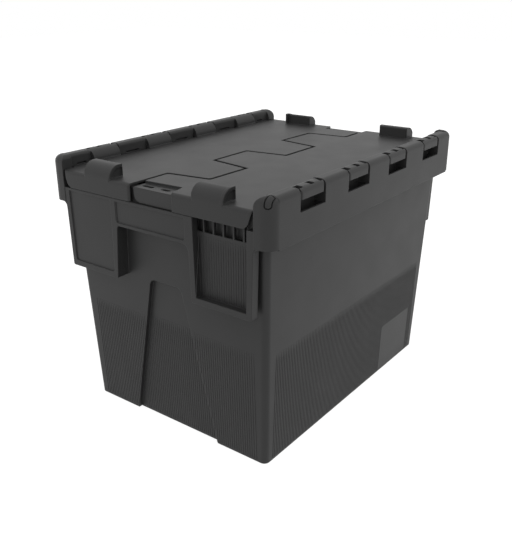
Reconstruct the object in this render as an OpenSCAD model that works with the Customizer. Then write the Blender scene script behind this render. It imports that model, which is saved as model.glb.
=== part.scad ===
// Stackable storage container with two hinged lid halves.
// X runs along the length, Y across the width, Z up from the floor. The origin is the
// centre of the foot. The hinge rods run along X, one over each long side. The container is
// the same when it is turned half a turn about Z, so each end and each side is drawn once,
// for the -X end and the -Y side, and repeated by that half turn.

/* [Overall] */
// Length over the lid skirts and the corner posts
overall_length = 400; // [390:1:430]
// Width over the two hinge rims
overall_width = 305; // [300:1:330]
// Height to the top of the corner posts
overall_height = 306; // [290:1:340]

/* [Tub] */
// Wall thickness
wall_t = 2.5; // [2:0.1:3.5]
// Floor thickness
floor_t = 3; // [2:0.1:6]
// How far the end skirts stand out from the top of the tub's end walls
end_overhang = 13.1; // [12.5:0.1:16]
// How far the rims stand out from the top of the tub's side walls
side_overhang = 13.5; // [13.3:0.1:13.7]
// Draft angle of the end walls
end_draft = 2.06; // [1:0.02:3]
// Draft angle of the side walls
side_draft = 1.84; // [1:0.02:2.5]
// Outer radius of the upright corners
tub_corner_r = 7; // [4.5:0.5:8]
// Chamfer round the foot
foot_chamfer = 0.5; // [0.4:0.1:2]

/* [End recess] */
// Depth of the tapering recess in each end wall
recess_depth = 5; // [3:0.5:7]
// Height of the recess
recess_h = 182; // [150:1:195]
// Width of the recess at the foot
recess_foot_w = 126; // [100:1:150]
// Width of the recess at its top
recess_top_w = 44; // [36:1:60]
// Corner radius at the top of the recess
recess_r = 8; // [3:0.5:12]

/* [Hinge rims] */
// Width of a rim segment, from its outer face inwards
rim_w = 16.1; // [15.7:0.1:16.5]
// Thickness of the band that hangs from the rim
band_t = 2.8; // [2:0.1:4]
// Depth of the band below the tub's top edge
band_h = 35.1; // [25:0.1:45]
// Outer top radius of the rim
rim_r_out = 6; // [4:0.5:6.5]
// Inner top radius of the rim
rim_r_in = 3.5; // [3:0.5:6]
// How far the rim and the knuckles stay below the tops of the posts
rim_drop = 0.8; // [0.4:0.1:2]
// Thickness of the gussets under the rim
gusset_t = 1.8; // [1.2:0.1:2.5]
// Length of the coring slot at the foot of each rim segment
core_slot_l = 21.5; // [8:0.5:24]
// Length of the coring slot beside each post
end_core_l = 13; // [8:0.5:16]

/* [Corner posts] */
// Length of a post along the rim
post_l = 13.5; // [13:0.1:15.5]
// Width of a post
post_w = 20.2; // [20:0.1:20.5]
// Depth of a post below the tub's top edge
post_h = 33.7; // [25:0.1:40]
// Upright outer corner radius
post_corner_r = 13; // [6:0.5:13]
// Radius round the post's top outside
post_r_out = 8; // [4:0.5:9]
// Radius of the top towards the lid on the post with the rod's clip
post_r_in = 12; // [4:0.5:13]
// Radius of the top towards the lid on the other post
post_far_r_in = 5; // [2:0.5:13]
// Thickness of the post's shell
post_t = 3; // [2:0.1:4]

/* [Hinges] */
// Diameter of the steel hinge rod
rod_d = 4; // [3:0.1:4.6]
// Radial clearance of the rod in the container's rim
rod_fit = 0.05; // [0.03:0.01:0.1]
// Radial clearance of the rod in the lid knuckles
knuckle_fit = 0.08; // [0.05:0.01:0.1]
// Plastic outside the rod's bore
rod_cover = 4.65; // [4:0.05:5]
// Gap between the open, hanging lid and the band
hang_gap = 1.5; // [1.2:0.1:2.5]
// Height of the knuckle's top above the rod's axis
knuckle_cap = 5.5; // [5.3:0.1:6]
// Plastic between the far end of the rod's bore and the post's face
rod_end_cover = 5; // [3:0.5:8]

/* [Knuckles] */
// Number of knuckles on each lid
knuckle_count = 4; // [3:1:4]
// Spacing of the knuckles
knuckle_pitch = 88.4; // [85:0.1:92]
// Length of a knuckle
knuckle_l = 40; // [30:0.5:42]
// Width of a knuckle, from its outer face inwards
knuckle_w = 20.3; // [18.6:0.1:20.4]
// Radius of a knuckle's top towards the middle
knuckle_r = 11; // [9:0.5:11]
// Upright radius at a knuckle's outer corners
knuckle_corner_r = 2.5; // [1:0.5:4]
// Height of a knuckle's outer foot above the lid's top face
knuckle_lift = 2.3; // [1.6:0.1:2.5]
// Mean gap between a knuckle and the ends of its slot
knuckle_gap = 2.1; // [1:0.1:3]
// Gap beside a knuckle's shoulders
shoulder_gap = 0.5; // [0.4:0.1:1]
// How far the row of slots lies off the container's middle
knuckle_offset = 1.4; // [0:0.1:5]
// How far the knuckle lies off the middle of its slot
knuckle_shift = -0.1; // [-1:0.1:1]
// Height of the open window under a knuckle
knuckle_window = 9.3; // [7.5:0.1:10]
// Length of the notch in the crest of a knuckle
notch_l = 7; // [3:0.5:8]
// Width of the notches along the crest
notch_w = 7.5; // [4:0.1:8]
// How far the notches lie in from the outer face
notch_in = 3.1; // [2:0.1:4]
// Depth of the notches
notch_depth = 2.6; // [1:0.1:2.8]
// How far the middle notch lies off the knuckle's middle
notch_offset = 2.8; // [0:0.1:6]

/* [Lids] */
// Thickness of the lid plate and its skirts
lid_t = 2.5; // [2:0.1:3.5]
// Gap between the closed lid and the tub's top edge
seat_gap = 0.3; // [0.2:0.05:0.6]
// Width of the seam between the two lids
seam_gap = 4; // [2:0.1:5]
// How far the tongues reach over the middle line
tongue_reach = 26.9; // [20:0.1:32]
// Depth of the end skirts below the lid's top face
skirt_h = 19.1; // [14:0.1:24]
// Where the near skirt ends at the middle of the container
skirt_mid_y = 24.1; // [18:0.1:25]
// Gap between a lid and the corner post
post_gap = 1.3; // [1:0.1:2]
// How far a skirt's end beside the post slopes back towards its foot
skirt_slope = 6.6; // [4:0.1:8]
// Radius along the lid's top edge at the ends
lid_edge_r = 4; // [2:0.5:4]
// Depth of the stiffening ribs under the lid
rib_h = 5; // [3:0.5:6]
// Thickness of the stiffening ribs
rib_t = 2; // [1.5:0.1:2.5]

/* [Seal tab] */
// Length of the lowered tab along X
tab_l = 21; // [18:0.5:24]
// How far the tab's face and top are set back
tab_drop = 2.8; // [2:0.1:3.2]
// Where the tab ends on the hinge side
tab_end_y = 29; // [26:0.5:34]
// Width of the seal holes
seal_hole_w = 4.8; // [3:0.1:5]
// Length of the long seal hole
seal_hole_l = 15.5; // [10:0.5:16]
// Length of the short seal hole
seal_hole_short_l = 12; // [9:0.5:13]

/* [Stacking lugs] */
// How far the lugs stay below the tops of the posts
lug_drop = 1; // [0.5:0.1:2]
// Depth of a full lug, from the skirt's face inwards
lug_d = 21; // [18:0.5:23]
// Depth of the slim lug behind its flange
slim_d = 17; // [16.5:0.5:19]
// How far the slim lug stays below the top of its flange
slim_drop = 0.5; // [0.4:0.1:2]
// Thickness of the slim lug's flange
lug_flange_t = 3.6; // [3.2:0.1:5]
// Length of a lug
lug_l = 40; // [30:0.5:50]
// Distance of a lug from the middle line
lug_y = 57; // [45:0.5:60]
// Outer top radius of a lug
lug_r = 15; // [8:0.5:15]
// Wall thickness of a lug
lug_t = 2.3; // [1.8:0.1:3]
// Width of the border round the recess in the lug's open end
lug_border = 3.4; // [2:0.1:4]
// Width of that border towards the middle of the lid
lug_border_in = 0.8; // [0.5:0.1:2]
// Depth of the recess in the lug's open end
lug_recess = 2.4; // [1:0.1:2.6]

/* [Ends] */
// How far the end face stays behind the lid skirts
face_inset = 0.5; // [0.2:0.1:1]
// Thickness of the end plate
plate_t = 3; // [2.4:0.1:3.4]
// Depth of the pillars below the tub's top edge
pillar_h = 108.7; // [90:0.1:125]
// Depth of the pillars from face to back
pillar_d = 9.6; // [8:0.1:10]
// How far the pillars narrow towards their foot
pillar_taper = 2.1; // [0:0.1:5]
// Step from the post to the pillar's outer edge
pillar_step = 0.7; // [0.5:0.1:4]
// Radius of the fillet between the post's foot and the pillar
post_fillet_r = 6; // [2:0.5:8]
// Width of the grip between the pillars
grip_w = 101.5; // [90:0.5:110]
// Depth of the grip bar below the tub's top edge
grip_h = 46.7; // [38:0.1:60]
// Depth of the shallow panels in the end face
panel_depth = 1.3; // [0.5:0.1:1.6]
// Width of the border round those panels
panel_border = 6; // [4:0.5:9]
// Gap between the lid skirt's edge and the ledge under it
skirt_gap = 0.6; // [0.3:0.1:1.5]

/* [Label pocket] */
// Depth of the pocket
pocket_depth = 8; // [5:0.1:8]
// Top of the pocket's back plate below the tub's top edge
pocket_back_drop = 32.7; // [28:0.1:34]
// Number of bars over the back plate
bar_count = 5; // [3:1:6]
// Spacing of the bars
bar_pitch = 12.5; // [9:0.1:12.8]
// Width of a bar
bar_w = 2; // [1.5:0.1:3]

/* [Rod clips] */
// Length of a clip along the rod
clip_l = 11; // [8:0.5:12]
// Width of the slot for the clip
clip_slot_w = 6.6; // [6:0.1:7]
// How far the slot's middle lies outside the rod's axis
clip_out = 0.8; // [0:0.1:1]
// How far the middle of the slot's round foot lies below the rod's axis
clip_drop = 1.8; // [1:0.1:2]
// Gap round the clip
clip_gap = 0.9; // [0.3:0.1:1]
// How far the clip's face stays behind the post's
clip_inset = 0.8; // [0.2:0.1:1.5]
// Length of the peg that centres the clip in the rod's bore
peg_l = 1.6; // [1:0.1:1.8]

/* [Hidden] */
body_colour = [0.27, 0.27, 0.27];
lid_colour = [0.38, 0.38, 0.38];
clip_colour = [0.33, 0.33, 0.33];
steel_colour = [0.72, 0.73, 0.75];

// Overcut of a hole past the face that it opens in
cut = 1;
// How far a piece of one moulding runs into the next
lap = 0.6;
half_l = overall_length / 2;
half_w = overall_width / 2;

// The hinge: the rod lies as far above the lid's top as it lies inside the band's face, and a
// little more, so that the open lid hangs clear of the band
rod_r = rod_d / 2;
rod_y = half_w - rod_cover - rod_r - rod_fit;
rod_rise = half_w - rod_y + hang_gap;
rim_top_z = overall_height - rim_drop;
rod_z = rim_top_z - knuckle_cap;
lid_top_z = rod_z - rod_rise;
lid_under_z = lid_top_z - lid_t;
rim_z = lid_under_z - seat_gap;
flange_t = plate_t;

// Heights of the rim, the posts and the end face
lug_top_z = overall_height - lug_drop;
slot_z = lid_top_z - knuckle_window;
band_z = rim_z - band_h;
post_z = rim_z - post_h;
pillar_z = rim_z - pillar_h;
grip_z = rim_z - grip_h;
skirt_z = lid_top_z - skirt_h;
lug_foot_z = lid_top_z - lid_edge_r - cut;
ledge_z = skirt_z - skirt_gap;
pocket_back_z = rim_z - pocket_back_drop;

// Places across the end
face_x = half_l - face_inset;
collar_x = half_l - tab_drop - lid_t - face_inset;
post_y = half_w - post_w;
lid_end_y = post_y - post_gap;
pillar_out = post_y - pillar_step;
grip_half = grip_w / 2;
plain_in_foot = grip_half + 5;
pocket_in_foot = grip_half + 2;
pocket_foot_z = pillar_z + panel_border + 0.7;
pocket_out = pillar_out - panel_border - 1;
bar_depth = 3.5;
bar_mid = (grip_half + pocket_out) / 2 + 2.3;
flange_end_y = post_y - 7;
skirt_far_y = skirt_mid_y + seam_gap;
hole_nick = 0.3;
// Places and lengths of the seal tab's two holes
seal_holes = [[-half_l + 11.8, 11.3, seal_hole_l], [-half_l + 12.3, -13.1, seal_hole_short_l]];
tab_far_y = -tab_end_y - 5;

// Slots and knuckles along the rim
slot_l = knuckle_l + 2 * knuckle_gap;
slots = [for (i = [0:knuckle_count - 1])
    knuckle_offset + (i - (knuckle_count - 1) / 2) * knuckle_pitch];
shoulder_in = notch_in + notch_w;
shoulder_w = 4.6;
slot_d = 20;
end_notch_l = 6.5;
notch_far_l = 4;
root_in = 12.8;
knuckle_foot_z = lid_top_z + knuckle_lift;
knuckle_core_l = 12;
knuckle_core_roof = 8;
core_slot_z = lid_top_z + 0.6;
core_slot_h = 1.8;
core_slot_d = 3.5;
end_core_in = 11;

// Half length and half width of the tub's outside at a height
function tub_half_l(z) = half_l - end_overhang - (rim_z - z) * tan(end_draft);
function tub_half_w(z) = half_w - side_overhang - (rim_z - z) * tan(side_draft);

// Outlines: a list of [x, y, radius] corners becomes a list of points with arcs in it
function unit(v) = v / norm(v);
function wrapped(angle) = (angle + 540) % 360 - 180;
function corner_arc(a, b, c, r, n) =
    let (
        u = unit(a - b),
        v = unit(c - b),
        half = acos(u * v) / 2,
        centre = b + unit(u + v) * r / sin(half),
        p = b + u * r / tan(half) - centre,
        q = b + v * r / tan(half) - centre,
        start = atan2(p.y, p.x),
        sweep = wrapped(atan2(q.y, q.x) - start)
    )
    [for (i = [0:n]) centre + r * [cos(start + sweep * i / n), sin(start + sweep * i / n)]];
function flat(p) = [p.x, p.y];
function rounded(pts, n = 6) =
    let (m = len(pts))
    [for (i = [0:m - 1])
        each pts[i][2] > 0
            ? corner_arc(flat(pts[(i + m - 1) % m]), flat(pts[i]), flat(pts[(i + 1) % m]), pts[i][2], n)
            : [flat(pts[i])]];

// Repeats what it is given at the other end, or the other side, by half a turn
module twice() {
    children();
    rotate([0, 0, 180]) children();
}

// A plate parallel to the end face, drawn in Y and Z, from x = -front inwards
module end_plate(front, t) {
    translate([-front, 0, 0]) rotate([90, 0, 90]) linear_extrude(t) children();
}

// A bar along X with a profile drawn inwards from the rim's outer face, and in Z
module rim_bar(x0, x1) {
    translate([x0, -half_w, 0]) rotate([90, 0, 90]) linear_extrude(x1 - x0) children();
}

// All that lies below a height over the whole container, rounded down over both ends
module below_end_arch(bottom, top, r) {
    rotate([90, 0, 0]) linear_extrude(overall_width + 2 * cut, center = true)
        translate([-half_l, 0]) arch(overall_length, bottom, top, r, r);
}

// A box given by its two corners
module block(a, b) {
    translate(a) cube(b - a);
}

// Profile with two rounded top corners
module arch(w, bottom, top, r_out, r_in) {
    difference() {
        translate([0, bottom]) square([w, top - bottom]);
        if (r_out > 0) corner_cut(0, top, 1, r_out);
        if (r_in > 0) corner_cut(w, top, -1, r_in);
    }
}

// What a rounding takes off a corner at y and z, with the shape on the side given by a sign
module corner_cut(y, z, side, r) {
    difference() {
        translate([y, z]) square(2 * r, center = true);
        translate([y + side * r, z - r]) circle(r, $fn = 64);
    }
}

// Rectangle about the origin with rounded corners
module round_rect(l, w, r) {
    square([l - 2 * r, w], center = true);
    square([l, w - 2 * r], center = true);
    for (x = [-1, 1])
        for (y = [-1, 1])
            translate([x * (l / 2 - r), y * (w / 2 - r)]) circle(r, $fn = 64);
}

// Upright-cornered slab of the tub's outline at one height, shrunk by a wall thickness
module tub_slab(z, inset, thick = 0.01) {
    translate([0, 0, z])
        linear_extrude(thick)
            intersection() {
                square(2 * [tub_half_l(z) - inset, tub_half_w(z) - inset], center = true);
                offset(r = tub_corner_r - inset, $fn = 32)
                    square(2 * [tub_half_l(z) - tub_corner_r, tub_half_w(z) - tub_corner_r], center = true);
            }
}

module tub_outside() {
    hull() {
        tub_slab(0, foot_chamfer);
        tub_slab(foot_chamfer, 0);
        tub_slab(rim_z - 0.01, 0);
    }
}

// Outline of the end recess on the wall, grown by an edge
module recess_outline(grow) {
    polygon(rounded([
        [-recess_foot_w / 2 - grow, -cut, 0],
        [recess_foot_w / 2 + grow, -cut, 0],
        [recess_top_w / 2 + grow, recess_h + grow, recess_r],
        [-recess_top_w / 2 - grow, recess_h + grow, recess_r]]));
}

// A block sunk square to the sloping end wall, from outside it to a depth
module on_end_wall(depth, lift) {
    translate([-tub_half_l(0), 0, 0])
        rotate([0, -end_draft, 0])
            translate([-cut, 0, 0]) rotate([90, 0, 90])
                linear_extrude(depth + cut) translate([0, lift]) children();
}

module tub_inside() {
    difference() {
        hull() {
            tub_slab(floor_t, wall_t);
            tub_slab(rim_z + 0.1, wall_t);
        }
        twice() on_end_wall(recess_depth + wall_t, 0) recess_outline(wall_t);
    }
}

// Rim of one long side: the band, the hollow under the rim and the slots for the knuckles
module side_rim() {
    x_end = half_l - post_l + lap;
    difference() {
        rim_bar(-x_end, x_end)
            union() {
                translate([0, band_z]) square([band_t, slot_z - band_z + lap]);
                translate([band_t - lap, slot_z]) square([side_overhang + wall_t - band_t, rim_z - slot_z]);
                arch(rim_w, slot_z, rim_top_z, rim_r_out, rim_r_in);
            }
        for (x = slots) {
            block([x - slot_l / 2, -half_w - cut, slot_z],
                [x + slot_l / 2, -half_w + slot_d, rim_top_z + cut]);
        }
        for (i = [1:knuckle_count - 1])
            core_slot(slots[0] + (i - 0.5) * knuckle_pitch, core_slot_l);
        for (side = [-1, 1])
            core_slot(side * (half_l - post_l - end_core_in - end_core_l / 2), end_core_l);
    }
    for (x = slots)
        for (side = [-1, 1])
            translate([x + side * (slot_l / 2 + 1.5 * gusset_t), 0, 0])
                block([-gusset_t / 2, -half_w + band_t - lap, band_z + 4],
                    [gusset_t / 2, -half_w + side_overhang + lap, slot_z + lap]);
}

// Notch in the crest of a knuckle
module crest_notch(x0, x1) {
    block([x0, -half_w + notch_in, rim_top_z - notch_depth],
        [x1, -half_w + notch_in + notch_w, rim_top_z + cut]);
}

// Coring slot in the inner face of the rim
module core_slot(x, l) {
    block([x - l / 2, -half_w + rim_w - core_slot_d, core_slot_z],
        [x + l / 2, -half_w + rim_w + cut, core_slot_z + core_slot_h]);
}

// The two corner posts of one long side
module side_posts() {
    corner_post(-1, post_r_in);
    corner_post(1, post_far_r_in);
}

// Post at one end, with its outer corner and its top rounded alike all round
module corner_post(end, r_in) {
    x0 = end < 0 ? -half_l : half_l - post_l;
    intersection() {
        rim_bar(x0, x0 + post_l) arch(post_w, post_z, overall_height, 0, r_in);
        union() {
            translate([end * (half_l - post_corner_r), -half_w + post_corner_r, 0])
                rotate_extrude($fn = 96) post_edge(0);
            translate([end * (half_l - post_corner_r), -half_w + post_w, 0])
                rotate([90, 0, 0]) linear_extrude(post_w - post_corner_r)
                    mirror([end < 0 ? 1 : 0, 0]) post_edge(lap);
            rim_bar(x0 + (end < 0 ? post_corner_r : 0), x0 + post_l - (end < 0 ? 0 : post_corner_r))
                translate([post_corner_r, 0]) mirror([1, 0]) post_edge(lap);
        }
    }
}

// Profile of a post's top, from the middle of its round corner to its outer face, and a little back
module post_edge(back) {
    difference() {
        translate([-back, post_z]) square([post_corner_r + back, overall_height - post_z]);
        corner_cut(post_corner_r, overall_height, -1, post_r_out);
    }
}

// Hollow under both posts of one long side
module post_hollows() {
    intersection() {
        translate([0, 0, post_z - cut]) linear_extrude(slot_z - post_z + cut)
            round_rect(overall_length - 2 * post_t, overall_width - 2 * post_t, post_corner_r - post_t);
        for (x = [-half_l, half_l - post_l])
            block([x + post_t, -half_w + post_t, post_z - cut],
                [x + post_l - post_t, -half_w + post_w - post_t, slot_z]);
    }
}

// Outline of a pillar, from its inner edge to its outer edge, on the side given by its sign
module pillar_outline(side, foot_in, inset) {
    polygon(rounded([
        [side * (foot_in + inset), pillar_z + inset, 2],
        [side * (pillar_out - pillar_taper - inset), pillar_z + inset, 2],
        [side * (pillar_out - inset), post_z, 0],
        [side * (pillar_out - inset), ledge_z, 0],
        [side * (grip_half + inset), ledge_z, 0],
        [side * (grip_half + inset), grip_z, 0]]));
}

// Fillet under an edge at height z where it meets an upright edge at y, on the side given by a sign
module foot_fillet(y, z, side, r) {
    difference() {
        translate([y, z]) square(2 * r, center = true);
        translate([y + side * r, z - r]) circle(r, $fn = 48);
        translate([y - 3 * r, z - 3 * r]) square([6 * r, 2 * r]);
    }
}

// Grip bar and the shoulders that join the pillars to the posts
module bar_outline() {
    translate([-grip_half - lap, grip_z]) square([grip_w + 2 * lap, ledge_z - grip_z]);
    for (side = [-1, 1])
        translate([side * (pillar_out + post_y) / 2, (post_z + ledge_z) / 2])
            square([pillar_step + 2 * lap, ledge_z - post_z], center = true);
}

// Outline of a shallow panel that runs up under the lid's skirt
module panel_outline(y0, y1, foot_z, slope) {
    polygon(rounded([
        [y0 + slope, foot_z, 3],
        [y1 - slope, foot_z, 3],
        [y1, ledge_z + cut, 0],
        [y0, ledge_z + cut, 0]]));
}

// Opening of the label pocket
module pocket_outline() {
    polygon(rounded([
        [-pocket_in_foot - panel_border, pocket_foot_z, 1.5],
        [-pocket_out + 1.4, pocket_foot_z, 1.5],
        [-pocket_out, rim_z - flange_t, 0],
        [-grip_half - panel_border, rim_z - flange_t, 0]]));
}

// The end face: plain pillar at +Y, grip bar, and pillar with the label pocket at -Y
module end_face() {
    wall_reach = face_x - tub_half_l(pillar_z) + wall_t;
    difference() {
        union() {
            end_plate(face_x, plate_t) {
                pillar_outline(1, plain_in_foot, 0);
                bar_outline();
                foot_fillet(grip_half, grip_z, -1, 3);
                foot_fillet(-grip_half, grip_z, 1, 8);
                for (side = [-1, 1]) foot_fillet(side * pillar_out, post_z, side, post_fillet_r);
            }
            end_plate(face_x, pillar_d)
                difference() {
                    pillar_outline(1, plain_in_foot, 0);
                    pillar_outline(1, plain_in_foot, wall_t);
                }
            end_plate(face_x, pillar_d) pillar_outline(-1, pocket_in_foot, 0);
        }
        end_plate(face_x + cut, panel_depth + cut) {
            panel_outline(-grip_half + 4, grip_half + 1, grip_z + 3.4, 0);
            panel_outline(grip_half + panel_border + 2, pillar_out - panel_border, pocket_foot_z, 1.5);
        }
        end_plate(face_x + cut, pocket_depth + cut) pocket_outline();
    }
    // Webs from the pillars' inner edges to the tub wall
    end_plate(face_x - lap, wall_reach) {
        web_strip(1, plain_in_foot);
        web_strip(-1, pocket_in_foot);
    }
    for (side = [-1, 1])
        translate([0, side * (grip_half + wall_t / 2), 0])
            block([-collar_x + lap, -wall_t / 2, ledge_z - plate_t],
                [-face_x + wall_reach, wall_t / 2, rim_z - lap]);
    // Ribs behind the plain pillar
    for (i = [1, 2])
        translate([0, grip_half + i * (pillar_out - grip_half) / 3, 0])
            block([-face_x + plate_t - lap, 0, pillar_z + 6], [-face_x + wall_reach, gusset_t, ledge_z]);
    // Ledge under the skirt, collar behind it and the flange that carries the lid
    block([-face_x, -grip_half - panel_border, ledge_z - plate_t],
        [-collar_x + plate_t, post_y + lap, ledge_z]);
    block([-collar_x, -grip_half - panel_border, ledge_z - lap], [-collar_x + plate_t, post_y + lap, rim_z]);
    block([-collar_x, -flange_end_y, rim_z - flange_t], [-tub_half_l(rim_z) + wall_t, post_y + lap, rim_z]);
    // Lower step of the flange under the lid's seal tab
    block([-collar_x, tab_far_y - wall_t, rim_z - tab_drop - flange_t],
        [-tub_half_l(rim_z) + wall_t, skirt_far_y + cut + wall_t, rim_z - lap]);
    // Bars over the label pocket's openings
    for (i = [0:bar_count - 1])
        block([-face_x + pocket_depth, bar_y(i) - bar_w / 2, pocket_back_z - lap],
            [-face_x + pocket_depth + bar_depth, bar_y(i) + bar_w / 2, rim_z - lap]);
}

function bar_y(i) = -bar_mid + (i - (bar_count - 1) / 2) * bar_pitch;

module web_strip(side, foot_in) {
    polygon([
        [side * foot_in, pillar_z + 1],
        [side * (foot_in + wall_t), pillar_z + 1],
        [side * (grip_half + wall_t), grip_z],
        [side * (grip_half + wall_t), ledge_z - lap],
        [side * grip_half, ledge_z - lap],
        [side * grip_half, grip_z]]);
}

// Opening over the pocket's back plate, with the bars left standing in it
module pocket_openings() {
    difference() {
        block([-face_x + pocket_depth, -flange_end_y, pocket_back_z],
            [-face_x + pillar_d + cut, -grip_half - 2.8, rim_z - flange_t]);
        for (i = [0:bar_count - 1])
            block([-face_x + pocket_depth - cut, bar_y(i) - bar_w / 2, pocket_back_z - cut],
                [-face_x + pocket_depth + bar_depth, bar_y(i) + bar_w / 2, rim_z]);
    }
}

// One long hole in the seal tab, as a plan
module seal_hole(l) {
    square([seal_hole_w, l - seal_hole_w], center = true);
    for (side = [-1, 1])
        translate([0, side * (l - seal_hole_w) / 2]) circle(seal_hole_w / 2, $fn = 32);
}

// U-shaped slot for the clip, open upwards and to the end, shrunk by a gap
module clip_prism(gap, reach) {
    translate([-half_l - cut, 0, 0]) rotate([90, 0, 90])
        linear_extrude(clip_l + cut - gap)
            translate([-rod_y - clip_out, rod_z - clip_drop]) {
                circle(clip_slot_w / 2 - gap, $fn = 48);
                translate([-clip_slot_w / 2 + gap, 0]) square([clip_slot_w - 2 * gap, reach]);
            }
}

module rod_bore(r) {
    translate([-half_l + clip_l - cut, -rod_y, rod_z]) rotate([0, 90, 0])
        cylinder(r = r, h = overall_length - clip_l - rod_end_cover + cut, $fn = 48);
}

// What the lowered seal tab of the lid needs below it
module tab_clearance() {
    block([-half_l, tab_far_y, rim_z - tab_drop],
        [-half_l + tab_l + 4, skirt_far_y + cut, rim_z + cut]);
    // Openings in the flange below the tab's holes, from the collar to the tub wall
    for (hole = seal_holes)
        block([-collar_x + plate_t - hole_nick, hole.y - hole[2] / 2, rim_z - tab_drop - flange_t - cut],
            [-tub_half_l(rim_z) + hole_nick, hole.y + hole[2] / 2, rim_z]);
}

module container_body() {
    color(body_colour)
        difference() {
            union() {
                tub_outside();
                twice() {
                    side_rim();
                    side_posts();
                    end_face();
                }
            }
            tub_inside();
            twice() {
                on_end_wall(recess_depth, 0) recess_outline(0);
                post_hollows();
                pocket_openings();
                tab_clearance();
                clip_prism(0, slot_d);
                rod_bore(rod_r + rod_fit);
            }
        }
}

// Seam corners for the front lid, with its edge set back by g: x, y, radius
function seam(g) = [
    [-143.1 - g, tongue_reach - g, 3],
    [-135.7 - g, -tongue_reach - g, 3],
    [-75.2 + g, -tongue_reach - 1.1 - g, 0],
    [-65.6 + g, tongue_reach - 0.6 - g, 0],
    [-3.7 - g, tongue_reach - g, 3],
    [3.7 - g, -tongue_reach - g, 3],
    [65.6 + g, -tongue_reach + 0.6 - g, 0],
    [75.2 + g, tongue_reach + 1.1 - g, 0],
    [135.7 - g, tongue_reach - g, 3],
    [143.1 - g, -tongue_reach - g, 3]];

// Plan of the front lid's plate
module plate_outline() {
    g = seam_gap / 2;
    polygon(rounded(concat(
        [[-half_l, skirt_mid_y, 3], [-half_l + tab_l - 2, skirt_mid_y, 0]],
        seam(g),
        [[half_l - tab_l + 2, -skirt_far_y, 1], [half_l, -skirt_far_y, 3], [half_l, -lid_end_y, 4],
            [half_l - post_l - 3, -lid_end_y, 0], [half_l - post_l - 3, -half_w + rim_w + 1.7, 0],
            [-half_l + post_l + 3, -half_w + rim_w + 1.7, 0], [-half_l + post_l + 3, -lid_end_y, 0],
            [-half_l, -lid_end_y, 4]])));
}

module lid() {
    difference() {
        union() {
            lid_shell();
            seal_tab();
            for (x = slots) translate([x + knuckle_shift, 0, 0]) knuckle();
            for (end = [-1, 1]) lug(end);
            under_ribs();
        }
        for (end = [-1, 1]) lug_core(end);
        rod_bore(rod_r + knuckle_fit);
    }
}

// Plate and skirts, without the lowered tab
module lid_shell() {
    intersection() {
        union() {
            translate([0, 0, lid_under_z]) linear_extrude(lid_t)
                difference() {
                    plate_outline();
                    tab_outline(0);
                }
            lid_skirts();
        }
        translate([0, 0, skirt_z]) linear_extrude(lid_top_z - skirt_z) plate_outline();
        below_end_arch(skirt_z, lid_top_z, lid_edge_r);
    }
}

// Lowered tab with its two holes, and the step wall that joins it to the plate
module seal_tab() {
    difference() {
        translate([0, 0, lid_under_z - tab_drop]) linear_extrude(lid_t) tab_plate();
        translate([0, 0, lid_under_z - tab_drop - cut])
            linear_extrude(lid_t + 2 * cut)
                for (hole = seal_holes) translate([hole.x, hole.y]) seal_hole(hole[2]);
    }
    translate([0, 0, lid_under_z - tab_drop]) linear_extrude(tab_drop + lid_t)
        intersection() {
            difference() {
                tab_outline(rib_t);
                tab_outline(0);
            }
            plate_outline();
            translate([-half_l + tab_drop, -half_w]) square([overall_length, overall_width]);
        }
}

// Plan of the lowered tab, grown by an edge towards the plate
module tab_outline(grow) {
    polygon([
        [-half_l - cut, skirt_far_y],
        [-half_l + tab_l + grow - 1, skirt_far_y],
        [-half_l + tab_l + grow + 2, -tab_end_y + 3 - grow],
        [-half_l - cut, -tab_end_y - 2.6 - grow]]);
}

// Plan of the tab's own plate, with its face set back
module tab_plate() {
    intersection() {
        tab_outline(rib_t);
        translate([-half_l + tab_drop, -tab_end_y - 6]) square([tab_l + 6, tab_end_y + 6 + skirt_mid_y]);
    }
}

// Skirts at both ends of the front lid
module lid_skirts() {
    end_plate(half_l, lid_t) skirt_outline(-tab_end_y - 2.6, -lid_end_y);
    end_plate(half_l - tab_drop, lid_t)
        polygon(rounded([
            [skirt_mid_y, lid_top_z - tab_drop, 2],
            [-tab_end_y - 2.6, lid_top_z - tab_drop, 0],
            [-tab_end_y - 2.6, skirt_z, 0],
            [skirt_mid_y, skirt_z, 9]]));
    end_plate(half_l, tab_drop + lid_t)
        translate([-tab_end_y - 4.6, skirt_z]) square([2, lid_top_z - skirt_z]);
    rotate([0, 0, 180]) end_plate(half_l, lid_t) skirt_outline(skirt_far_y, lid_end_y);
}

// Skirt from its inner end to the rounded, sloping corner at the post
module skirt_outline(y_mid, y_post) {
    polygon(rounded([
        [y_mid, lid_top_z, 0],
        [y_post, lid_top_z, 0],
        [y_post - sign(y_post) * skirt_slope, skirt_z, 9],
        [y_mid, skirt_z, 0]]));
}

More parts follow.
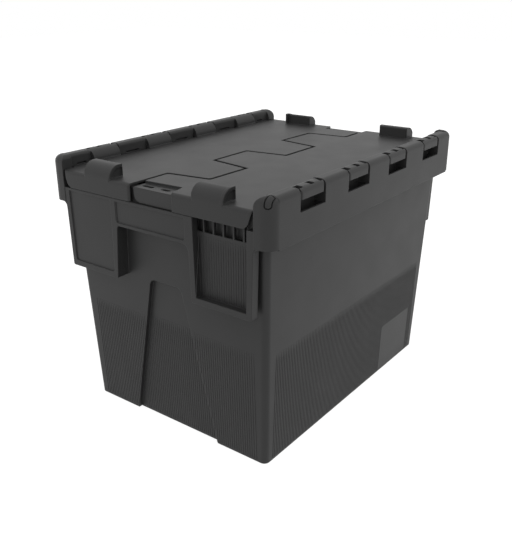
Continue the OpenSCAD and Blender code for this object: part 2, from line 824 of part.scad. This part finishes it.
// Knuckle of the front lid, centred on x = 0
module knuckle() {
    y_in = -half_w + knuckle_w;
    difference() {
        union() {
            intersection() {
                rim_bar(-knuckle_l / 2, knuckle_l / 2) knuckle_profile();
                translate([0, 0, lid_top_z]) linear_extrude(overall_height - lid_top_z)
                    polygon(rounded([
                        [-knuckle_l / 2, -half_w, knuckle_corner_r],
                        [knuckle_l / 2, -half_w, knuckle_corner_r],
                        [knuckle_l / 2, y_in + cut, 0],
                        [-knuckle_l / 2, y_in + cut, 0]]));
            }
            // Shoulders that close the slot behind the crest
            intersection() {
                translate([-knuckle_shift, 0, 0])
                    rim_bar(shoulder_gap - slot_l / 2, slot_l / 2 - shoulder_gap) knuckle_profile();
                block([-slot_l, -half_w + shoulder_in, lid_top_z],
                    [slot_l, -half_w + shoulder_in + shoulder_w, overall_height]);
            }
            // Root that runs into the plate, with a small ledge over it
            block([-knuckle_l / 2, -half_w + root_in, lid_under_z],
                [knuckle_l / 2, y_in, knuckle_foot_z + lap]);
            block([-knuckle_l / 2, -half_w + root_in, lid_under_z],
                [knuckle_l / 2, y_in + 2, lid_top_z]);
            block([-knuckle_l / 2, -half_w + root_in, lid_top_z - lap],
                [knuckle_l / 2, y_in + 1.5, lid_top_z + 1.5]);
        }
        crest_notch(notch_offset - notch_l / 2, notch_offset + notch_l / 2);
        crest_notch(-knuckle_l / 2 - cut, -knuckle_l / 2 + end_notch_l);
        crest_notch(knuckle_l / 2 - notch_far_l, knuckle_l / 2 + cut);
        for (side = [-1, 1])
            block([side * knuckle_l / 4 - knuckle_core_l / 2, -half_w + root_in - cut, lid_under_z - cut],
                [side * knuckle_l / 4 + knuckle_core_l / 2, y_in - 4, rim_top_z - knuckle_core_roof]);
    }
}

module knuckle_profile() {
    arch(knuckle_w, knuckle_foot_z, rim_top_z, rim_r_out, knuckle_r);
}

// Stacking lug at one end of the front lid. At the -X end it is slim, with a flange round its
// open end, which faces away from the middle. At the +X end it is full all along, and its open
// end faces the middle
module lug(end) {
    y0 = -lug_y - lug_l;
    open_end = end < 0 ? [y0 - cut, y0 + lug_recess] : [-lug_y - lug_recess, -lug_y + cut];
    difference() {
        intersection() {
            union() {
                lug_bar(y0, -lug_y) lug_profile(end, body_d(end), body_top(end), lid_under_z);
                if (end < 0) lug_bar(y0, y0 + lug_flange_t) lug_profile(end, lug_d, lug_top_z, lid_under_z);
                // Strip that fills the lid's rounded edge under the lug
                lug_bar(y0, -lug_y)
                    translate([end < 0 ? -half_l : half_l - lid_t, lug_foot_z])
                        square([lid_t, lid_under_z + 0.4 - lug_foot_z]);
            }
            translate([0, 0, lug_foot_z]) linear_extrude(overall_height - lug_foot_z)
                translate([end * (half_l - lug_d / 2), -lug_y - lug_l / 2]) round_rect(lug_d, lug_l, 2);
        }
        lug_bar(open_end[0], open_end[1])
            lug_profile(end, lug_d, lug_top_z, lid_top_z + lap, lug_border, lug_border_in);
    }
}

// Depth and top of a lug's body
function body_d(end) = end < 0 ? slim_d : lug_d;
function body_top(end) = end < 0 ? lug_top_z - slim_drop : lug_top_z;

// Core of a lug, open to the underside of the lid
module lug_core(end) {
    y0 = -lug_y - lug_l;
    open_wall = lug_recess + lug_t;
    lug_bar(y0 + (end < 0 ? open_wall : lug_t), -lug_y - (end < 0 ? lug_t : open_wall))
        lug_profile(end, body_d(end), body_top(end), lid_under_z - cut, lug_t, lug_t);
}

// A bar along Y between two places, drawn in X and Z
module lug_bar(y0, y1) {
    translate([0, y1, 0]) rotate([90, 0, 0]) linear_extrude(y1 - y0) children();
}

// Lug profile above a height with a quarter-round outer top, shrunk by one edge on the outside
// and the top, and by another on the inside
module lug_profile(end, depth, top, foot, edge = 0, inner = 0) {
    w = depth - edge - inner;
    r = min(lug_r - edge, w - 1.2);
    mirror([end < 0 ? 1 : 0, 0])
        intersection() {
            polygon(rounded([
                [half_l - depth + inner, skirt_z, 0],
                [half_l - edge, skirt_z, 0],
                [half_l - edge, top - edge, r],
                [half_l - depth + inner, top - edge, min(2, w - r - 0.1)]], 14));
            translate([half_l - depth, foot]) square([depth, top - foot]);
        }
}

// Ribs across the underside of the front lid
module under_ribs() {
    for (x = slots)
        block([x + knuckle_shift - rib_t / 2, -lid_end_y + 1, lid_under_z - rib_h],
            [x + knuckle_shift + rib_t / 2, -tongue_reach - 2, lid_under_z + lap]);
    block([-half_l + tab_l + 6, -lug_y - lug_l / 2, lid_under_z - rib_h],
        [half_l - tab_l - 6, -lug_y - lug_l / 2 + rib_t, lid_under_z + lap]);
}

module lid_front() {
    color(lid_colour) lid();
}

module lid_rear() {
    color(lid_colour) rotate([0, 0, 180]) lid();
}

module hinge_rod() {
    start = -half_l + clip_l + peg_l + clip_gap;
    translate([start, -rod_y, rod_z]) rotate([0, 90, 0])
        cylinder(r = rod_r, h = half_l - rod_end_cover - clip_gap - start, $fn = 48);
}

module hinge_rod_front() {
    color(steel_colour) hinge_rod();
}

module hinge_rod_rear() {
    color(steel_colour) rotate([0, 0, 180]) hinge_rod();
}

// Clip that fills the slot in the post, with a peg in the rod's bore
module rod_clip() {
    intersection() {
        translate([clip_inset, 0, 0]) side_posts();
        clip_prism(clip_gap, slot_d);
    }
    translate([-half_l + clip_l - 2, -rod_y, rod_z]) rotate([0, 90, 0])
        cylinder(r = rod_r - 0.1, h = peg_l + 2, $fn = 48);
}

module rod_clip_front() {
    color(clip_colour) rod_clip();
}

module rod_clip_rear() {
    color(clip_colour) rotate([0, 0, 180]) rod_clip();
}

container_body();
lid_front();
lid_rear();
hinge_rod_front();
hinge_rod_rear();
rod_clip_front();
rod_clip_rear();
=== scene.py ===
# Storage container with two hinged lid halves: finish, wall ribs, light and camera.
# Everything is in metres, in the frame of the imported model: X along the length, Y across,
# Z up from the floor. The container is the same when it is turned half a turn about Z.
from math import cos, radians, sin

import bmesh
import bpy
from mathutils import Matrix, Vector
from mathutils.bvhtree import BVHTree


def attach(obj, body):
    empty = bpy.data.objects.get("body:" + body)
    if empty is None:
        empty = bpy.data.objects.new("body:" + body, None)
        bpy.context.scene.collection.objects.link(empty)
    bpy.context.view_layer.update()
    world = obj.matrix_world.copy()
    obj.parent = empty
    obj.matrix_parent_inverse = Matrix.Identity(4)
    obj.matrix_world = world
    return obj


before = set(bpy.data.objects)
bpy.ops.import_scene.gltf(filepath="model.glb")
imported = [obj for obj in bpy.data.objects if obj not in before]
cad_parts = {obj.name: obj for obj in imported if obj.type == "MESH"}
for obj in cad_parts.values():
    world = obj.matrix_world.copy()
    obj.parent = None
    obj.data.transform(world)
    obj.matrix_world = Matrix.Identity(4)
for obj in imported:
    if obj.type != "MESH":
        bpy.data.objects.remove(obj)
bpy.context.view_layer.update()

MM = 0.001

# Camera, solved from the photograph's edges: image size, focal length and centre in pixels
IMAGE_W = 512
IMAGE_H = 543
FOCAL_PX = 710.35
CENTRE_PX = (256.88, 270.88)
SENSOR_MM = 36
CAMERA_AT = Vector((-685.28, -503.62, 478.77)) * MM
CAMERA_YAW = radians(37.102)
CAMERA_PITCH = radians(21.835)
CAMERA_ROLL = radians(-0.195)
CAMERA_NEAR = 10 * MM

# Light: the sky as a light and as it is seen, and one soft lamp with the way towards it
SKY_LIGHT = 0.9
SKY_SEEN = 1.0
LAMP_ENERGY = 0.15
LAMP_SPREAD = radians(70)
LAMP_TOWARDS = Vector((-0.1, -0.47, 0.88))

# Floor: its own glow and its answer to light as it is seen, and its grey as a reflector
FLOOR_HALF = 6000 * MM
FLOOR_DROP = 0.2 * MM
FLOOR_GLOW = 0.88
FLOOR_LIT = 0.3
FLOOR_DIM = 0.5

# Fine upright ribs on the walls
RIB_PITCH = 3.05 * MM
RIB_PROUD = 0.3 * MM
RIB_SUNK = 0.3 * MM
RIB_FOOT_W = 1.7 * MM
RIB_CREST_W = 1.1 * MM
RIB_BOTTOM_Z = 2.5 * MM
# Height over which a rib's head runs out into the wall, and the least height of a rib
RIB_FADE = 9 * MM
RIB_LEAST_H = 1.5 * RIB_FADE
END_RIB_TOP_Z = 134 * MM
END_RIB_HALF_Y = 118.4 * MM
SIDE_RIB_TOP_Z = 131 * MM
SIDE_RIB_HALF_X = 163.5 * MM
# Recess low in the end wall, and the height left bare on each side of its edge
RECESS_FOOT_HALF = 63 * MM
RECESS_TOP_HALF = 22 * MM
RECESS_H = 182 * MM
RECESS_BARE = 3 * MM
# Smooth label pad on the side wall
PAD_X = (75 * MM, 152 * MM)
PAD_TOP_Z = 66.5 * MM
POCKET_RIB_Y = (-123 * MM, -58.5 * MM)
POCKET_RIB_Z = (187.5 * MM, 252 * MM)
# Distance from the centre at which the lines to the walls start, outside the container
OUTSIDE = 300 * MM

# Colours, linear
PLASTIC = (0.027, 0.027, 0.027)
STEEL = (0.56, 0.57, 0.58)

# Moulded plastic: reflection, mottling of tint and roughness, spark grain, edge radii
PLASTIC_IOR = 1.5
PLASTIC_SPECULAR = 0.3
MOTTLE_SCALE = 28
MOTTLE_DETAIL = 4
MOTTLE_TINT = (0.93, 1.07)
MOTTLE_ROUGHNESS = (0.42, 0.54)
GRAIN_SCALE = 1400
GRAIN_DETAIL = 2
GRAIN_STRENGTH = 0.12
GRAIN_DEPTH = 0.05 * MM
EDGE_SAMPLES = 6
MOULDING_EDGE_R = 1.2 * MM
CLIP_EDGE_R = 0.6 * MM

# Drawn steel: lines stretched along X, and the range of roughness
STEEL_LINES = (8, 900, 900)
STEEL_DETAIL = 2
STEEL_ROUGHNESS = (0.22, 0.42)


def camera():
    """The photograph's camera."""
    data = bpy.data.cameras.new("photo_camera")
    data.sensor_fit = "AUTO"
    data.sensor_width = SENSOR_MM
    data.lens = FOCAL_PX * SENSOR_MM / IMAGE_H
    data.shift_x = -(CENTRE_PX[0] - IMAGE_W / 2) / IMAGE_H
    data.shift_y = (CENTRE_PX[1] - IMAGE_H / 2) / IMAGE_H
    data.clip_start = CAMERA_NEAR
    forward = Vector((
        cos(CAMERA_YAW) * cos(CAMERA_PITCH),
        sin(CAMERA_YAW) * cos(CAMERA_PITCH),
        -sin(CAMERA_PITCH)))
    right = forward.cross(Vector((0, 0, 1))).normalized()
    up = right.cross(forward)
    turned_right = right * cos(CAMERA_ROLL) + up * sin(CAMERA_ROLL)
    turned_up = up * cos(CAMERA_ROLL) - right * sin(CAMERA_ROLL)
    turn = Matrix((turned_right, turned_up, -forward)).transposed().to_4x4()
    obj = bpy.data.objects.new("photo_camera", data)
    obj.matrix_world = Matrix.Translation(CAMERA_AT) @ turn
    bpy.context.scene.collection.objects.link(obj)
    bpy.context.scene.camera = obj


def node_material(name):
    """A new material, with its nodes and links."""
    mat = bpy.data.materials.new(name)
    mat.use_nodes = True
    return mat, mat.node_tree.nodes, mat.node_tree.links


def spread(nodes, links, source, low, high):
    """A value between 0 and 1, spread over the range from low to high."""
    span = nodes.new("ShaderNodeMapRange")
    span.inputs["To Min"].default_value = low
    span.inputs["To Max"].default_value = high
    links.new(source, span.inputs["Value"])
    return span.outputs["Result"]


def noise(nodes, links, place, scale, detail):
    """Noise at a place, between 0 and 1."""
    texture = nodes.new("ShaderNodeTexNoise")
    texture.inputs["Scale"].default_value = scale
    texture.inputs["Detail"].default_value = detail
    links.new(place, texture.inputs["Vector"])
    return texture.outputs["Fac"]


def matt(nodes, grey):
    """A plain matt grey surface."""
    shader = nodes.new("ShaderNodeBsdfDiffuse")
    shader.inputs["Color"].default_value = (grey, grey, grey, 1)
    return shader.outputs[0]


def seen_directly(nodes, links):
    """1 for camera, glossy and transmission rays, 0 for the rays that carry light."""
    path = nodes.new("ShaderNodeLightPath")
    total = path.outputs["Is Camera Ray"]
    for name in ("Is Glossy Ray", "Is Transmission Ray"):
        largest = nodes.new("ShaderNodeMath")
        largest.operation = "MAXIMUM"
        links.new(total, largest.inputs[0])
        links.new(path.outputs[name], largest.inputs[1])
        total = largest.outputs[0]
    return total


def studio():
    """Soft even light, a soft lamp from above and the right, and a pale floor."""
    world = bpy.data.worlds.new("studio")
    bpy.context.scene.world = world
    world.use_nodes = True
    nodes = world.node_tree.nodes
    links = world.node_tree.links
    strength = spread(nodes, links, seen_directly(nodes, links), SKY_LIGHT, SKY_SEEN)
    nodes["Background"].inputs["Color"].default_value = (1, 1, 1, 1)
    links.new(strength, nodes["Background"].inputs["Strength"])

    lamp = bpy.data.lights.new("soft_lamp", "SUN")
    lamp.energy = LAMP_ENERGY
    lamp.angle = LAMP_SPREAD
    lamp_obj = bpy.data.objects.new("soft_lamp", lamp)
    lamp_obj.rotation_euler = LAMP_TOWARDS.to_track_quat("Z", "Y").to_euler()
    bpy.context.scene.collection.objects.link(lamp_obj)

    mesh = bpy.data.meshes.new("floor")
    half = FLOOR_HALF
    mesh.from_pydata([(-half, -half, 0), (half, -half, 0), (half, half, 0), (-half, half, 0)],
                     [], [(0, 1, 2, 3)])
    floor = bpy.data.objects.new("floor", mesh)
    floor.location.z = -FLOOR_DROP
    bpy.context.scene.collection.objects.link(floor)
    floor.data.materials.append(floor_material())


def floor_material():
    """Pale floor: nearly white to the eye, with the object's shadow, and dim as a reflector."""
    mat, nodes, links = node_material("floor")
    nodes.clear()
    out = nodes.new("ShaderNodeOutputMaterial")
    glow = nodes.new("ShaderNodeEmission")
    glow.inputs["Strength"].default_value = FLOOR_GLOW
    both = nodes.new("ShaderNodeAddShader")
    links.new(glow.outputs[0], both.inputs[0])
    links.new(matt(nodes, FLOOR_LIT), both.inputs[1])
    pick = nodes.new("ShaderNodeMixShader")
    links.new(seen_directly(nodes, links), pick.inputs["Fac"])
    links.new(matt(nodes, FLOOR_DIM), pick.inputs[1])
    links.new(both.outputs[0], pick.inputs[2])
    links.new(pick.outputs[0], out.inputs["Surface"])
    return mat


def moulded_plastic(name, colour, edge_r):
    """Matt moulded plastic: fine spark grain, faint mottling and softened edges."""
    mat, nodes, links = node_material(name)
    shader = nodes["Principled BSDF"]
    shader.inputs["IOR"].default_value = PLASTIC_IOR
    shader.inputs["Specular IOR Level"].default_value = PLASTIC_SPECULAR
    place = nodes.new("ShaderNodeTexCoord").outputs["Object"]

    mottle = noise(nodes, links, place, MOTTLE_SCALE, MOTTLE_DETAIL)
    tinted = nodes.new("ShaderNodeMix")
    tinted.data_type = "RGBA"
    tinted.blend_type = "MULTIPLY"
    tinted.inputs["Factor"].default_value = 1
    tinted.inputs["A"].default_value = (*colour, 1)
    links.new(spread(nodes, links, mottle, *MOTTLE_TINT), tinted.inputs["B"])
    links.new(tinted.outputs["Result"], shader.inputs["Base Color"])
    links.new(spread(nodes, links, mottle, *MOTTLE_ROUGHNESS), shader.inputs["Roughness"])

    bump = nodes.new("ShaderNodeBump")
    bump.inputs["Strength"].default_value = GRAIN_STRENGTH
    bump.inputs["Distance"].default_value = GRAIN_DEPTH
    links.new(noise(nodes, links, place, GRAIN_SCALE, GRAIN_DETAIL), bump.inputs["Height"])
    bevel = nodes.new("ShaderNodeBevel")
    bevel.samples = EDGE_SAMPLES
    bevel.inputs["Radius"].default_value = edge_r
    links.new(bevel.outputs["Normal"], bump.inputs["Normal"])
    links.new(bump.outputs["Normal"], shader.inputs["Normal"])
    return mat


def drawn_steel():
    """Bright drawn bar with fine lines along it."""
    mat, nodes, links = node_material("drawn_steel")
    shader = nodes["Principled BSDF"]
    shader.inputs["Metallic"].default_value = 1
    shader.inputs["Base Color"].default_value = (*STEEL, 1)
    place = nodes.new("ShaderNodeTexCoord").outputs["Object"]
    stretch = nodes.new("ShaderNodeMapping")
    stretch.inputs["Scale"].default_value = STEEL_LINES
    links.new(place, stretch.inputs["Vector"])
    lines = noise(nodes, links, stretch.outputs["Vector"], 1, STEEL_DETAIL)
    links.new(spread(nodes, links, lines, *STEEL_ROUGHNESS), shader.inputs["Roughness"])
    return mat


def finish(obj, mat):
    """Gives the object one material."""
    obj.data.materials.clear()
    obj.data.materials.append(mat)


def spaced(low, high, pitch):
    """Places from low to high, a pitch apart and centred between them."""
    count = int((high - low) / pitch) + 1
    first = (low + high - (count - 1) * pitch) / 2
    return [first + i * pitch for i in range(count)]


def add_rib(mesh, foot, head, across, out):
    """One rib from foot to head: a bar with a narrower crest, sunk a little into the wall,
    which runs out into the wall at its head."""
    bend = head + (foot - head).normalized() * RIB_FADE
    rings = []
    for end, proud in ((foot, RIB_PROUD), (bend, RIB_PROUD), (head, 0)):
        section = ((-RIB_FOOT_W / 2, -RIB_SUNK), (RIB_FOOT_W / 2, -RIB_SUNK),
                   (RIB_CREST_W / 2, proud), (-RIB_CREST_W / 2, proud))
        rings.append([mesh.verts.new(end + across * side + out * level) for side, level in section])
    for lower, upper in zip(rings, rings[1:]):
        for i in range(len(lower)):
            j = (i + 1) % len(lower)
            mesh.faces.new((lower[i], lower[j], upper[j], upper[i]))
    mesh.faces.new(rings[0][::-1])
    mesh.faces.new(rings[-1])


def rib_piece(name, rows, across, body, mat, half_turn):
    """A piece made of ribs. Each row is the foot, the head and the outward direction."""
    mesh = bmesh.new()
    for foot, head, out in rows:
        add_rib(mesh, foot, head, across, out)
    bmesh.ops.recalc_face_normals(mesh, faces=mesh.faces)
    if half_turn:
        bmesh.ops.rotate(mesh, verts=mesh.verts, matrix=Matrix.Rotation(radians(180), 3, "Z"))
    data = bpy.data.meshes.new(name)
    mesh.to_mesh(data)
    mesh.free()
    obj = bpy.data.objects.new(name, data)
    bpy.context.scene.collection.objects.link(obj)
    finish(obj, mat)
    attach(obj, body)


def wall_point(tree, start, towards):
    """Where a straight line from outside first meets the container."""
    return tree.ray_cast(start, towards)[0]


def end_row(tree, y, low, high):
    """One rib on the -X end, between two heights."""
    inward = Vector((1, 0, 0))
    foot = wall_point(tree, Vector((-OUTSIDE, y, low)), inward)
    head = wall_point(tree, Vector((-OUTSIDE, y, high)), inward)
    return foot, head, -inward


def end_rows(tree):
    """Ribs of the -X end wall, broken where they cross the edge of the recess."""
    rows = []
    slope = (RECESS_FOOT_HALF - RECESS_TOP_HALF) / RECESS_H
    for y in spaced(-END_RIB_HALF_Y, END_RIB_HALF_Y, RIB_PITCH):
        crossing = (RECESS_FOOT_HALF - abs(y)) / slope
        stretches = [(RIB_BOTTOM_Z, END_RIB_TOP_Z)]
        if RIB_BOTTOM_Z < crossing < END_RIB_TOP_Z:
            stretches = [(RIB_BOTTOM_Z, crossing - RECESS_BARE),
                         (crossing + RECESS_BARE, END_RIB_TOP_Z)]
        rows += [end_row(tree, y, low, high) for low, high in stretches if high - low >= RIB_LEAST_H]
    return rows


def side_rows(tree):
    """Ribs of the -Y side wall, shorter over the smooth label pad."""
    rows = []
    inward = Vector((0, 1, 0))
    for x in spaced(-SIDE_RIB_HALF_X, SIDE_RIB_HALF_X, RIB_PITCH):
        low = PAD_TOP_Z if PAD_X[0] < x < PAD_X[1] else RIB_BOTTOM_Z
        foot = wall_point(tree, Vector((x, -OUTSIDE, low)), inward)
        head = wall_point(tree, Vector((x, -OUTSIDE, SIDE_RIB_TOP_Z)), inward)
        rows.append((foot, head, -inward))
    return rows


def pocket_rows(tree):
    """Ribs on the back plate of the label pocket at the -X end."""
    return [end_row(tree, y, *POCKET_RIB_Z) for y in spaced(*POCKET_RIB_Y, RIB_PITCH)]


def wall_ribs(mat):
    """Fine ribs on all four walls and in both label pockets."""
    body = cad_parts["container_body"]
    mesh = bmesh.new()
    mesh.from_mesh(body.data)
    tree = BVHTree.FromBMesh(mesh)
    mesh.free()
    for name, rows, across in (
            ("end_ribs", end_rows(tree), Vector((0, 1, 0))),
            ("side_ribs", side_rows(tree), Vector((1, 0, 0))),
            ("pocket_ribs", pocket_rows(tree), Vector((0, 1, 0)))):
        for suffix, half_turn in (("a", False), ("b", True)):
            rib_piece(f"{name}_{suffix}", rows, across, "root", mat, half_turn)


camera()
bpy.context.scene.view_settings.view_transform = "Standard"
studio()

body_plastic = moulded_plastic("body_plastic", PLASTIC, MOULDING_EDGE_R)
lid_plastic = moulded_plastic("lid_plastic", PLASTIC, MOULDING_EDGE_R)
clip_plastic = moulded_plastic("clip_plastic", PLASTIC, CLIP_EDGE_R)
steel = drawn_steel()
for node, mat in (
        ("container_body", body_plastic), ("lid_front", lid_plastic), ("lid_rear", lid_plastic),
        ("rod_clip_front", clip_plastic), ("rod_clip_rear", clip_plastic),
        ("hinge_rod_front", steel), ("hinge_rod_rear", steel)):
    finish(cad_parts[node], mat)
wall_ribs(body_plastic)
